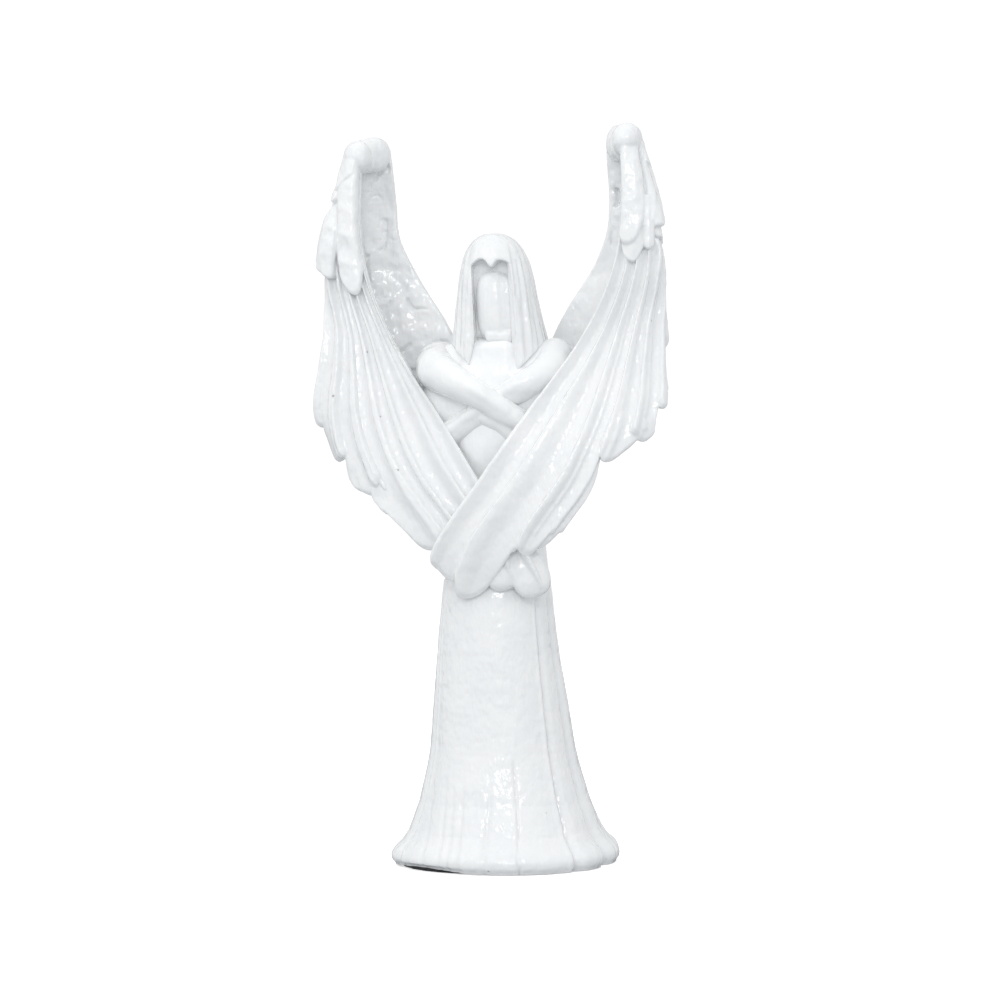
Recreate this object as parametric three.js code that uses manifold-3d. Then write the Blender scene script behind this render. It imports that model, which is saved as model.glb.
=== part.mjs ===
// A white resin angel figurine: a hooded figure in a long flared gown, arms crossed on the breast,
// wrapped by two tall wings whose longest feathers cross in front of the hips.
// Millimetres, +Z up, the front faces -Y, origin on the table under the middle of the gown.
// "Right" and "left" are the figure's own: its left side is at +X.
import * as THREE from "three";
import { mergeVertices } from "three/addons/utils/BufferGeometryUtils.js";
import Module from "manifold-3d";

const wasm = await Module();
wasm.setup();

// ---- driving dimensions ----
const CLEARANCE = 0.3; // gap left for the glue line between two castings
const PAD_THICKNESS = 1.0;
const PAD_INSET = 5.5;
const GOWN_TOP = 118;
const NECK_BASE = 215;
const HEAD_TURN = THREE.MathUtils.degToRad(6); // the head looks a little to its left
const WING_SHELL = 2.6; // thickness of a wing's backing
const FEATHER_CREST = 3.4; // a feather's height over the backing at its raised front edge
const DOWEL_RADIUS = 3.0;
const HOLE_PLAY = 0.1;

// ---- small geometry helpers ----
const smooth = (a, b, x) => THREE.MathUtils.smoothstep(x, a, b);
const lerp = THREE.MathUtils.lerp;
const point = (x, y, z) => new THREE.Vector3(x, y, z);
const curve = (rows) => new THREE.CatmullRomCurve3(rows.map((r) => point(...r)), false, "catmullrom", 0.5);

// Value at z of a smooth profile given as [z, value, value...] rows, lowest first.
function profile(rows) {
  const line = curve(rows.map(([z, a, b = 0]) => [a, b, z]));
  return (z) => {
    let i = 0;
    while (i < rows.length - 2 && rows[i + 1][0] < z) i += 1;
    const t = THREE.MathUtils.clamp((z - rows[i][0]) / (rows[i + 1][0] - rows[i][0]), 0, 1);
    const p = line.getPoint((i + t) / (rows.length - 1));
    return [p.x, p.y];
  };
}

function meshGeometry(points, triangles) {
  const geometry = new THREE.BufferGeometry();
  const values = points.flatMap((p) => p.toArray());
  geometry.setAttribute("position", new THREE.Float32BufferAttribute(values, 3));
  geometry.setIndex(triangles.flat());
  return geometry;
}

function toSolid(geometry) {
  const bare = geometry.clone();
  bare.deleteAttribute("normal");
  bare.deleteAttribute("uv");
  const merged = mergeVertices(bare, 1e-4);
  const triVerts = new Uint32Array(merged.index.array);
  const made = new wasm.Manifold(
    new wasm.Mesh({ numProp: 3, vertProperties: merged.attributes.position.array, triVerts }),
  );
  if (made.volume() > 0) return made;
  for (let i = 0; i < triVerts.length; i += 3) triVerts.subarray(i, i + 3).reverse();
  return new wasm.Manifold(
    new wasm.Mesh({ numProp: 3, vertProperties: merged.attributes.position.array, triVerts }),
  );
}

function toGeometry(made) {
  const mesh = made.getMesh();
  const positions = new Float32Array(mesh.numVert * 3);
  for (let i = 0; i < mesh.numVert; i += 1) {
    positions.set(mesh.vertProperties.subarray(i * mesh.numProp, i * mesh.numProp + 3), i * 3);
  }
  const geometry = new THREE.BufferGeometry();
  geometry.setAttribute("position", new THREE.BufferAttribute(positions, 3));
  geometry.setIndex(new THREE.BufferAttribute(mesh.triVerts, 1));
  return geometry;
}

// A closed solid through rings of points, lowest first, each ring capped with its middle.
function loft(rings) {
  const count = rings[0].length;
  const points = rings.flat();
  const triangles = [];
  for (let j = 0; j + 1 < rings.length; j += 1) {
    for (let i = 0; i < count; i += 1) {
      const a = j * count + i;
      const b = j * count + ((i + 1) % count);
      triangles.push([a, b, b + count], [a, b + count, a + count]);
    }
  }
  [0, rings.length - 1].forEach((j) => {
    const middle = points.length;
    const ring = rings[j];
    points.push(ring.reduce((sum, p) => sum.add(p), point(0, 0, 0)).divideScalar(count));
    ring.forEach((_, i) => {
      const a = j * count + i;
      const b = j * count + ((i + 1) % count);
      triangles.push(j === 0 ? [b, a, middle] : [a, b, middle]);
    });
  });
  return toSolid(meshGeometry(points, triangles));
}

// A closed slab between two grids of points of the same size.
function slab(outer, inner) {
  const rows = outer.length;
  const columns = outer[0].length;
  const points = [...outer.flat(), ...inner.flat()];
  const skip = rows * columns;
  const triangles = [];
  const quad = (a, b, c, d) => triangles.push([a, b, c], [a, c, d]);
  for (let j = 0; j + 1 < rows; j += 1) {
    for (let i = 0; i + 1 < columns; i += 1) {
      const a = j * columns + i;
      quad(a, a + columns, a + columns + 1, a + 1);
      quad(skip + a, skip + a + 1, skip + a + columns + 1, skip + a + columns);
    }
  }
  for (let i = 0; i + 1 < columns; i += 1) {
    const low = (rows - 1) * columns + i;
    quad(i, i + 1, skip + i + 1, skip + i);
    quad(low + 1, low, skip + low, skip + low + 1);
  }
  for (let j = 0; j + 1 < rows; j += 1) {
    const a = j * columns;
    const b = a + columns - 1;
    quad(a + columns, a, skip + a, skip + a + columns);
    quad(b, b + columns, skip + b + columns, skip + b);
  }
  return toSolid(meshGeometry(points, triangles));
}

function rod(radius, from, to, sides = 12) {
  const length = from.distanceTo(to);
  const geometry = new THREE.CylinderGeometry(radius, radius, length, sides);
  const turn = new THREE.Quaternion().setFromUnitVectors(point(0, 1, 0), to.clone().sub(from).normalize());
  geometry.applyQuaternion(turn).translate(...from.clone().add(to).divideScalar(2).toArray());
  return toSolid(geometry);
}

// A superellipse's radius direction: rounder at power 2, squarer above it.
function superellipse(angle, halfX, halfY, power) {
  const c = Math.cos(angle);
  const s = Math.sin(angle);
  const r = (Math.abs(c / halfX) ** power + Math.abs(s / halfY) ** power) ** (-1 / power);
  return [r * c, r * s];
}

// ---- gown ----
// Half width and half depth of the gown at each height.
const gownProfile = profile([
  [0, 45.6, 44.4],
  [6, 45, 43.9],
  [14, 39.4, 39.2],
  [26, 34.6, 34.6],
  [46, 29.4, 29.6],
  [67, 26.5, 27],
  [88, 24.1, 25],
  [108, 22.2, 23],
  [GOWN_TOP, 21, 21.6],
]);
const PLEATS = 9;
const PLEAT_SECTION = [
  [0, 1],
  [0.12, 0.35],
  [0.3, 0],
  [0.5, -0.2],
  [0.7, 0],
  [0.88, 0.35],
];
const HEM_SWAY = 1.6; // the skirt swings a little to its left as it falls
const PANEL_HALF_ANGLE = 0.92; // the plain front panel's half width, in radians about the axis
const PLEAT_DEPTH = 2.6;

// Stations round the gown: [angle, depth of the fold there]. Flat ribs, narrow folds between them.
function gownStations() {
  const front = -Math.PI / 2;
  const panel = Array.from({ length: 9 }, (_, i) => [front + PANEL_HALF_ANGLE * (i / 4.5 - 1), 0]);
  const pleatWidth = (2 * Math.PI - 2 * PANEL_HALF_ANGLE) / PLEATS;
  const pleats = Array.from({ length: PLEATS }, (_, k) =>
    PLEAT_SECTION.map(([f, fold]) => [front + PANEL_HALF_ANGLE + (k + f) * pleatWidth, fold]),
  );
  return [...panel, ...pleats.flat()];
}

function gownRing(z, inset, stations) {
  const [halfX, halfY] = gownProfile(z);
  return stations.map(([angle, fold]) => {
    const [x, y] = superellipse(angle, halfX - inset, halfY - inset, 2.2);
    const shrink = 1 - (fold * PLEAT_DEPTH * lerp(1, 0.6, z / GOWN_TOP)) / Math.hypot(x, y);
    return point(x * shrink + HEM_SWAY * smooth(100, 18, z), y * shrink, z);
  });
}

const plainStations = (count) => Array.from({ length: count }, (_, i) => [(i / count) * 2 * Math.PI, 0]);
const waistDowel = (play) => rod(DOWEL_RADIUS + play, point(0, 0, 102 - play), point(0, 0, 136 + play), 12);
const neckDowel = (play) => rod(DOWEL_RADIUS + play, point(0, 3, 198 - play), point(0, 3, 222 + play), 12);

function makeGown(grow = 0) {
  const heights = [PAD_THICKNESS, 2.6, 7, 13, 22, 36, 56, 78, 98, GOWN_TOP];
  const stations = gownStations();
  return loft(heights.map((z) => gownRing(z, (z < 2 ? 1.5 : 0) - grow, stations)));
}

function makeFeltPad() {
  const ring = gownRing(2, PAD_INSET, plainStations(32));
  return loft([0, PAD_THICKNESS - CLEARANCE].map((z) => ring.map((p) => p.clone().setZ(z))));
}

// ---- bodice ----
const bodiceProfile = profile([
  [GOWN_TOP, 20.6, 20.4],
  [138, 19, 18],
  [158, 17, 15.5],
  [176, 18.8, 14.5],
  [190, 22.5, 14.5],
  [200, 27, 13],
  [206, 28, 10.5],
  [211, 22, 8.5],
  [NECK_BASE, 11, 7],
]);
const WING_PAD = { half: point(6, 7, 8), middle: point(17, 10, 200) }; // block behind the shoulder

function makeBodice(grow = 0) {
  const heights = [GOWN_TOP + CLEARANCE, 138, 158, 170, 182, 192, 200, 205, 209, 212, NECK_BASE];
  const body = loft(
    heights.map((z, k) => {
      const [halfX, halfY] = bodiceProfile(z);
      const end = k === 0 ? -grow : k === heights.length - 1 ? grow : 0;
      return Array.from({ length: 26 }, (_, i) => {
        const [x, y] = superellipse((i / 26) * 2 * Math.PI, halfX + grow, halfY + grow, 2.4);
        return point(x, y, z + end);
      });
    }),
  );
  const size = WING_PAD.half.clone().addScalar(grow).multiplyScalar(2);
  const pads = [-1, 1].map((side) => {
    const box = new THREE.BoxGeometry(size.x, size.y, size.z);
    return toSolid(box.translate(side * WING_PAD.middle.x, WING_PAD.middle.y, WING_PAD.middle.z));
  });
  return body.add(pads[0]).add(pads[1]);
}

// ---- head ----
const HEAD = point(1.5, -1, 229);

function makeFace(grow = 0) {
  const geometry = new THREE.SphereGeometry(1, 16, 10).rotateX(Math.PI / 2);
  geometry.scale(8.2 + grow, 12.6 + grow, 16 + grow).rotateZ(HEAD_TURN).translate(...HEAD.toArray());
  return toSolid(geometry);
}

const veilProfile = profile([
  [203, 20.4, 16.6],
  [209, 19.4, 17.2],
  [215, 18.2, 17.8],
  [230, 15.7, 18.2],
  [244, 13.7, 16.5],
  [252, 10.4, 12.5],
  [256.4, 5, 6],
]);

function makeVeil() {
  const heights = [203, 208, 213, 220, 228, 236, 243, 248, 252, 255, 256.4];
  const outside = loft(
    heights.map((z) => {
      const [halfX, halfY] = veilProfile(z);
      return Array.from({ length: 28 }, (_, i) => {
        const [x, y] = superellipse((i / 28) * 2 * Math.PI, halfX, halfY, 2.2);
        return point(x, y, z);
      });
    }),
  );
  const arch = new THREE.Shape();
  arch.moveTo(-9.4, 190);
  arch.lineTo(9.4, 190);
  arch.lineTo(8.6, 215);
  arch.lineTo(8, 237);
  arch.absellipse(0, 237, 8, 9, 0, Math.PI, false, 0);
  arch.lineTo(-8.6, 215);
  arch.closePath();
  const opening = new THREE.ExtrudeGeometry(arch, { depth: 30, bevelEnabled: false, curveSegments: 7 });
  opening.rotateX(Math.PI / 2).translate(0, -6, 0);
  const turn = [0, 0, THREE.MathUtils.radToDeg(HEAD_TURN)];
  return outside.subtract(toSolid(opening)).rotate(turn).translate([HEAD.x, 0, 0]);
}

// ---- arms ----
// Each arm runs from the shoulder across the breast and under the edge of the opposite wing.
const RIGHT_ARM = [
  [-24, 0, 205],
  [-21.5, -10, 201],
  [-11, -17.5, 195.5],
  [1, -20, 189],
  [10, -17, 182.5],
  [17, -12, 177],
];
const LEFT_ARM = [
  [25.5, 0, 205.5],
  [24.5, -6.5, 200],
  [18.5, -12, 195.5],
  [8.8, -14.5, 190],
  [-2, -15, 183],
  [-13.5, -13.5, 176],
  [-19, -12, 173],
];

function makeArm(path, grow = 0) {
  const line = curve(path);
  const steps = 10;
  const rings = Array.from({ length: steps + 1 }, (_, k) => {
    const t = k / steps;
    const along = line.getTangent(t);
    const across = along.clone().cross(point(0, -1, 0)).normalize();
    const out = across.clone().cross(along).normalize();
    const end = k === 0 || k === steps ? 0.65 : 1;
    const wide = lerp(8.6, 5.6, smooth(0, 0.5, t)) * end + grow;
    const deep = lerp(8.4, 4.8, smooth(0, 0.5, t)) * end + grow;
    return Array.from({ length: 12 }, (_, i) => {
      const angle = (i / 12) * 2 * Math.PI;
      return line
        .getPoint(t)
        .addScaledVector(across, wide * Math.cos(angle))
        .addScaledVector(out, deep * Math.sin(angle));
    });
  });
  return loft(rings);
}

// ---- wings ----
// A wing is one curved sheet. Each rib crosses it from the leading edge, round the outside, to the
// back edge; ribs run from the wrist at the top down to the ends of the longest feathers.
const LEADING_EDGE = curve([
  [54, 1, 299],
  [55, -2.5, 289],
  [55.6, -4.6, 274],
  [55, -5.5, 257],
  [51.8, -6, 240],
  [44.5, -7.5, 222],
  [34, -11, 204],
  [18.5, -17, 182],
  [1.5, -24, 157],
  [-18, -26, 130],
  [-30, -20, 104],
]);
const OUTER_LINE = curve([
  [56.5, 5, 299.8],
  [58.8, 2, 290],
  [63.5, -1, 274],
  [67.3, -3, 257],
  [69, -2.5, 241],
  [68.8, 0.5, 224],
  [70.2, -3, 205],
  [71.6, -7, 185],
  [62, -10, 161],
  [46, -16, 136],
  [36, -19, 106],
]);
const BACK_EDGE = curve([
  [46.9, 10.5, 298.5],
  [46.1, 12.3, 288],
  [46, 16.8, 273],
  [44.7, 17.4, 258],
  [37.6, 18.9, 242],
  [26, 17.5, 224],
  [17.5, 18, 207],
  [13, 20, 190],
  [12, 24, 170],
  [14, 26, 150],
  [14, 26, 130],
]);
const RIBS = 10;

// The left wing crosses over the right one, so it stands further forward below the breast. Its
// feathers fan out: their lines stand at the high fractions above the fan and at the low ones below.
// Tips are where each long feather ends, in ribs, from the leading edge to the back. Each small
// feather of the wrist is [front fraction, back fraction, tip rib].
const LEFT_WING = {
  name: "left",
  side: 1,
  forward: 2.9,
  fan: [5, 9],
  high: [0, 0.085, 0.15, 0.225, 0.28, 0.345, 0.4, 0.47, 0.56, 0.65, 0.75, 0.87, 1],
  low: [0, 0.115, 0.27, 0.345, 0.43, 0.495, 0.56, 0.63, 0.7, 0.77, 0.84, 0.92, 1],
  tips: [9.5, 9.8, 9.2, 7.9, 7.55, 7.1, 6.95, 6.9, 6.85, 6.75, 6.7, 6.5],
  primaries: 3,
  upper: [
    [0.0, 0.2, 3.3],
    [0.2, 0.36, 1.8],
    [0.36, 0.52, 2.5],
    [0.52, 0.68, 2.3],
    [0.68, 0.84, 2.6],
    [0.84, 1.0, 2.3],
  ],
  lower: [
    [0.03, 0.19, 3.85],
    [0.19, 0.28, 3.55],
    [0.28, 0.4, 3.3],
    [0.4, 0.55, 3.8],
    [0.55, 0.7, 3.5],
    [0.7, 0.85, 3.8],
    [0.85, 0.97, 3.5],
  ],
};
const RIGHT_WING = {
  name: "right",
  side: -1,
  forward: -2.9,
  fan: [5, 8.3],
  high: [0, 0.045, 0.09, 0.135, 0.195, 0.26, 0.34, 0.41, 0.49, 0.58, 0.68, 0.79, 0.89, 1],
  low: [0, 0.08, 0.175, 0.245, 0.33, 0.42, 0.495, 0.57, 0.64, 0.71, 0.78, 0.85, 0.92, 1],
  tips: [9.75, 9.65, 9.3, 9.15, 8.3, 7.75, 7.25, 6.9, 6.9, 6.85, 6.75, 6.7, 6.5],
  primaries: 4,
  upper: [
    [0.0, 0.27, 2.0],
    [0.27, 0.42, 2.3],
    [0.42, 0.6, 2.4],
    [0.6, 0.8, 2.2],
    [0.8, 1.0, 2.6],
  ],
  lower: [
    [0.0, 0.19, 4.3],
    [0.2, 0.36, 3.95],
    [0.37, 0.5, 3.4],
    [0.5, 0.66, 3.7],
    [0.66, 0.82, 3.5],
    [0.82, 0.97, 3.75],
  ],
};

// Points of the wing's rib v, from the leading edge round to the back edge.
const ribCache = new Map();
function ribPoints(wing, v) {
  const key = wing.name + v.toFixed(5);
  if (ribCache.has(key)) return ribCache.get(key);
  const t = THREE.MathUtils.clamp(v / RIBS, 0, 1);
  const front = LEADING_EDGE.getPoint(t);
  const outer = OUTER_LINE.getPoint(t);
  const back = BACK_EDGE.getPoint(t);
  const corner = point(lerp(front.x, outer.x, 0.86), lerp(front.y, outer.y, 0.06), (front.z + outer.z) / 2);
  const heel = point(lerp(back.x, outer.x, 0.95), lerp(back.y, outer.y, 0.02), (back.z + outer.z) / 2);
  const path = new THREE.CurvePath();
  path.add(new THREE.QuadraticBezierCurve3(front, corner, outer));
  path.add(new THREE.QuadraticBezierCurve3(outer, heel, back));
  const shift = -wing.forward * smooth(5.5, 8, v);
  const made = path.getSpacedPoints(60).map((p) => p.add(point(0, shift, 0)));
  ribCache.set(key, made);
  return made;
}

function onWing(wing, s, v) {
  const points = ribPoints(wing, v);
  const at = THREE.MathUtils.clamp(s, 0, 1) * (points.length - 1);
  const i = Math.min(Math.floor(at), points.length - 2);
  return points[i].clone().lerp(points[i + 1], at - i);
}

// The point lifted off the sheet, outward, and mirrored for the right wing.
function lifted(wing, s, v, lift) {
  const round = onWing(wing, Math.min(s + 0.03, 1), v).sub(onWing(wing, Math.max(s - 0.03, 0), v));
  const down = onWing(wing, s, Math.min(v + 0.15, RIBS)).sub(onWing(wing, s, Math.max(v - 0.15, 0)));
  const normal = down.cross(round).normalize();
  return onWing(wing, s, v).addScaledVector(normal, lift).multiply(point(wing.side, 1, 1));
}

const WRIST = 0.15; // the first row, just under the top of the wrist
const SHEET_GAP = 0.4; // backing below this, feathers above it

function makeShell(wing) {
  const end = (s) => lerp(6.9, 6.1, smooth(0.2, 0.45, s));
  const columns = 16;
  const rows = 10;
  const grid = (thickness) =>
    Array.from({ length: rows + 1 }, (_, k) =>
      Array.from({ length: columns + 1 }, (_, i) => {
        const s = i / columns;
        const v = lerp(WRIST, end(s), k / rows);
        return lifted(wing, s, v, -SHEET_GAP - thickness * lerp(0.4, 1, smooth(0.1, 1.5, v)));
      }),
    );
  return slab(grid(0), grid(WING_SHELL));
}

// Height of a feather across its width: a steep raised front edge, then a long fall to the back.
const FEATHER_SECTION = [
  [0, 0.6],
  [0.14, 1],
  [0.5, 0.66],
  [0.97, 0.32],
];
const FEATHER_START = 0.9;
const feathersRise = (v) => lerp(0.3, 1, smooth(2.4, 4.0, v)); // flatter under the small feathers

// Feathers side by side as one sheet, each ending at its own rib in a rounded tip. Each feather is
// [front, back, tip rib]; front and back give the fraction round the wing at a rib.
function makeFeatherSheet(wing, feathers, start, rows, top, under, round) {
  const columns = feathers.flatMap(([front, back, tip]) =>
    FEATHER_SECTION.map(([u, rise]) => ({
      line: (v) => lerp(front(v), back(v), u),
      end: tip - round * Math.abs(2 * u - 1) ** 2,
      rise,
    })),
  );
  const grid = (height) =>
    Array.from({ length: rows + 1 }, (_, k) =>
      columns.map(({ line, end, rise }) => {
        const v = lerp(start, end, k / rows);
        return lifted(wing, line(v), v, height(rise, v));
      }),
    );
  return slab(grid(top), grid(under));
}

function makeLongFeathers(wing, from, to) {
  const gap = from > 0 ? CLEARANCE / 100 : 0;
  const line = (k, extra) => (v) => extra + lerp(wing.high[k], wing.low[k], smooth(...wing.fan, v));
  const feathers = wing.tips.slice(from, to).map((tip, i) => {
    const k = from + i;
    return [line(k, i === 0 ? gap : 0), line(k + 1, 0), tip];
  });
  const top = (rise, v) => 0.1 + FEATHER_CREST * rise * feathersRise(v);
  return makeFeatherSheet(wing, feathers, FEATHER_START, 12, top, () => 0.1, 0.25);
}

// Two overlapping rows of small feathers on the wrist and the upper wing.
function makeCoverts(wing) {
  const under = (_, v) => 1.4 + FEATHER_CREST * feathersRise(v);
  const row = (list, start, height) => {
    const feathers = list.map(([front, back, tip]) => [() => front, () => back, tip]);
    const top = (rise, v) => under(0, v) + height * rise * smooth(-0.6, 0.6, v);
    return makeFeatherSheet(wing, feathers, start, 5, top, under, 0.35);
  };
  return row(wing.upper, WRIST, 4.2).add(row(wing.lower, 1.6, 2.6));
}

// ---- assembly ----
const group = new THREE.Group();
group.name = "angel";
const enamel = () => new THREE.MeshStandardMaterial({ color: 0xf1f3f3, roughness: 0.2, metalness: 0 });
const steel = () => new THREE.MeshStandardMaterial({ color: 0x9a9c9e, roughness: 0.35, metalness: 1 });
const felt = () => new THREE.MeshStandardMaterial({ color: 0x2d2f33, roughness: 1, metalness: 0 });

// Adds the largest body of a boolean's result as one mesh; slivers cut free are dropped.
function place(name, made, material) {
  const body = made.decompose().reduce((a, b) => (b.volume() > a.volume() ? b : a));
  const mesh = new THREE.Mesh(toGeometry(body), material);
  mesh.name = name;
  group.add(mesh);
}

const cut = (made, ...tools) => tools.reduce((rest, tool) => rest.subtract(tool), made);

// A thin curved piece with the clearance it needs round it, as a tool to cut its neighbours.
function withClearance(made, gap) {
  const shifts = [-gap, gap].flatMap((d) => [
    [d, 0, 0],
    [0, d, 0],
    [0, 0, d],
  ]);
  return shifts.map((shift) => made.translate(shift)).reduce((a, b) => a.add(b), made);
}

const FIT = CLEARANCE + 0.2; // clearance where a curved piece seats against another
const torso = makeBodice(FIT).add(makeGown(FIT));
const wingTools = [];
[LEFT_WING, RIGHT_WING].forEach((wing) => {
  const shell = makeShell(wing);
  const primaries = cut(makeLongFeathers(wing, 0, wing.primaries), torso);
  place(wing.name + "_wing_shell", shell, enamel());
  place(wing.name + "_primaries", primaries, enamel());
  place(wing.name + "_secondaries", makeLongFeathers(wing, wing.primaries, wing.tips.length), enamel());
  place(wing.name + "_coverts", makeCoverts(wing), enamel());
  wingTools.push(withClearance(shell, FIT), withClearance(primaries, FIT));
});

const armTools = [makeArm(RIGHT_ARM, FIT), makeArm(LEFT_ARM, FIT)];
const dowelHoles = [waistDowel(HOLE_PLAY), neckDowel(HOLE_PLAY)];
place("gown", cut(makeGown(), ...dowelHoles), enamel());
place("felt_pad", makeFeltPad(), felt());
place("waist_dowel", waistDowel(0), steel());
place("bodice", cut(makeBodice(), ...armTools, makeFace(FIT), ...dowelHoles, ...wingTools), enamel());
place("neck_dowel", neckDowel(0), steel());
place("face", cut(makeFace(), ...dowelHoles), enamel());
place("veil", cut(makeVeil(), makeFace(FIT), makeBodice(FIT), ...armTools, ...dowelHoles), enamel());
place("right_arm", cut(makeArm(RIGHT_ARM), ...wingTools), enamel());
place("left_arm", cut(makeArm(LEFT_ARM), armTools[0], ...wingTools), enamel());

export default group;
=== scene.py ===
"""A white enamelled resin angel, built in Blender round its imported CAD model."""

import math

import bpy
import numpy as np
import openvdb
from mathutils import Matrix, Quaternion, Vector


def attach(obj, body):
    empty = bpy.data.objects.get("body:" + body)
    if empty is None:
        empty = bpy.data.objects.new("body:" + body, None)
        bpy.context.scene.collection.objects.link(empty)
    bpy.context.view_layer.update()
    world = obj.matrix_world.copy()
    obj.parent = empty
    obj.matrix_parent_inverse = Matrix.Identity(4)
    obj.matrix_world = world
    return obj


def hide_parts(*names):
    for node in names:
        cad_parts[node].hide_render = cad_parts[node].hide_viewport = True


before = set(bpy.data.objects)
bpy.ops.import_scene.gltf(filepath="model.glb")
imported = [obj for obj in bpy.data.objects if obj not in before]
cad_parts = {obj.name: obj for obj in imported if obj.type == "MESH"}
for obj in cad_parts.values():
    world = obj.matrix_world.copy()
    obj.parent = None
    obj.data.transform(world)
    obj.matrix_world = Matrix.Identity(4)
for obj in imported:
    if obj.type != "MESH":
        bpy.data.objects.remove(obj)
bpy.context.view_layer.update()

# ---------------------------------------------------------------- numbers and noise


def lerp(a, b, t):
    return a + (b - a) * t


def smooth(a, b, x):
    t = np.clip((x - a) / (b - a), 0, 1)
    return t * t * (3 - 2 * t)


def bell(x, width):
    """1 where x is 0, falling smoothly to about a third at width."""
    return np.exp(-((x / width) ** 2))


def unit(v):
    return v / np.maximum(np.linalg.norm(v, axis=-1, keepdims=True), 1e-9)


def catmull(rows):
    """A smooth curve through the rows, for a parameter from 0 to 1."""
    p = np.array(rows, float)
    ext = np.vstack([2 * p[0] - p[1], p, 2 * p[-1] - p[-2]])

    def at(t):
        u = np.clip(np.asarray(t, float), 0, 1) * (len(p) - 1)
        i = np.minimum(u.astype(int), len(p) - 2)
        w = (u - i)[..., None]
        p0, p1, p2, p3 = ext[i], ext[i + 1], ext[i + 2], ext[i + 3]
        t0, t1 = 0.5 * (p2 - p0), 0.5 * (p3 - p1)
        return (2 * p1 - 2 * p2 + t0 + t1) * w**3 + (3 * p2 - 3 * p1 - 2 * t0 - t1) * w**2 + t0 * w + p1

    return at


def profile(rows):
    """Smooth values at a height, from [height, value, ...] rows, lowest first."""
    z = np.array([r[0] for r in rows], float)
    line = catmull([r[1:] for r in rows])

    def at(height):
        t = np.interp(height, z, np.arange(len(z))) / (len(z) - 1)
        return line(t)

    return at


def lattice(i, j, k, seed):
    with np.errstate(over="ignore"):
        h = i.astype(np.uint32) * np.uint32(374761393) + j.astype(np.uint32) * np.uint32(668265263)
        h = h + k.astype(np.uint32) * np.uint32(2147483647) + np.uint32(seed * 9176 + 77)
        h = (h ^ (h >> np.uint32(13))) * np.uint32(1274126177)
        h = (h ^ (h >> np.uint32(16))) * np.uint32(2246822519)
        h = h ^ (h >> np.uint32(15))
    return h.astype(np.float64) / 2147483647.5 - 1


def noise(p, size, seed=0):
    """Smooth noise from -1 to 1 whose bumps are about size across. size may have three values."""
    q = np.asarray(p, float) / np.asarray(size, float) + 1000
    b = np.floor(q)
    f = q - b
    f = f * f * f * (f * (6 * f - 15) + 10)
    i, j, k = (b[..., n].astype(np.int64) for n in range(3))
    out = 0
    for a in (0, 1):
        wa = f[..., 0] if a else 1 - f[..., 0]
        for c in (0, 1):
            wc = f[..., 1] if c else 1 - f[..., 1]
            for d in (0, 1):
                wd = f[..., 2] if d else 1 - f[..., 2]
                out = out + wa * wc * wd * lattice(i + a, j + c, k + d, seed)
    return out


# ---------------------------------------------------------------- meshes

MM = 0.001

def mesh_object(name, verts_mm, faces):
    mesh = bpy.data.meshes.new(name)
    verts = np.asarray(verts_mm, np.float32) * MM
    faces = np.asarray(faces, np.int32)
    n, k = faces.shape
    mesh.vertices.add(len(verts))
    mesh.vertices.foreach_set("co", verts.ravel())
    mesh.loops.add(n * k)
    mesh.loops.foreach_set("vertex_index", faces.ravel())
    mesh.polygons.add(n)
    mesh.polygons.foreach_set("loop_start", np.arange(0, n * k, k, dtype=np.int32))
    mesh.update(calc_edges=True)
    mesh.validate()
    obj = bpy.data.objects.new(name, mesh)
    bpy.context.scene.collection.objects.link(obj)
    return obj


def mixed_object(name, verts, quads, tris):
    """A mesh of quads and triangles."""
    mesh = bpy.data.meshes.new(name)
    mesh.from_pydata((verts * MM).tolist(), [], quads.tolist() + tris.tolist())
    mesh.update()
    obj = bpy.data.objects.new(name, mesh)
    bpy.context.scene.collection.objects.link(obj)
    return obj


def slab(outer, inner):
    """A closed slab between two grids of points, as vertices and quads."""
    rows, cols, _ = outer.shape
    verts = np.concatenate([outer.reshape(-1, 3), inner.reshape(-1, 3)])
    a = (np.arange(rows - 1)[:, None] * cols + np.arange(cols - 1)[None, :]).ravel()
    skip = rows * cols
    faces = [
        np.stack([a, a + cols, a + cols + 1, a + 1], 1),
        np.stack([a, a + 1, a + cols + 1, a + cols], 1) + skip,
    ]
    i = np.arange(cols - 1)
    low = (rows - 1) * cols + i
    faces.append(np.stack([i, i + 1, skip + i + 1, skip + i], 1))
    faces.append(np.stack([low + 1, low, skip + low, skip + low + 1], 1))
    j = np.arange(rows - 1) * cols
    faces.append(np.stack([j + cols, j, skip + j, skip + j + cols], 1))
    e = j + cols - 1
    faces.append(np.stack([e, e + cols, skip + e + cols, skip + e], 1))
    return verts, np.concatenate(faces)


def join(parts):
    verts, faces, skip = [], [], 0
    for v, f in parts:
        verts.append(v)
        faces.append(f + skip)
        skip += len(v)
    return np.concatenate(verts), np.concatenate(faces)


def read_mesh(obj):
    mesh = obj.data
    co = np.empty(len(mesh.vertices) * 3, np.float32)
    mesh.vertices.foreach_get("co", co)
    edges = np.empty(len(mesh.edges) * 2, np.int32)
    mesh.edges.foreach_get("vertices", edges)
    normal = np.empty(len(mesh.vertices) * 3, np.float32)
    mesh.vertex_normals.foreach_get("vector", normal)
    co = co.reshape(-1, 3).astype(float) * 1000
    normal = normal.reshape(-1, 3).astype(float)
    return co, edges.reshape(-1, 2), normal


def write_mesh(obj, co):
    obj.data.vertices.foreach_set("co", (co * MM).astype(np.float32).ravel())
    obj.data.update()


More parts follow.
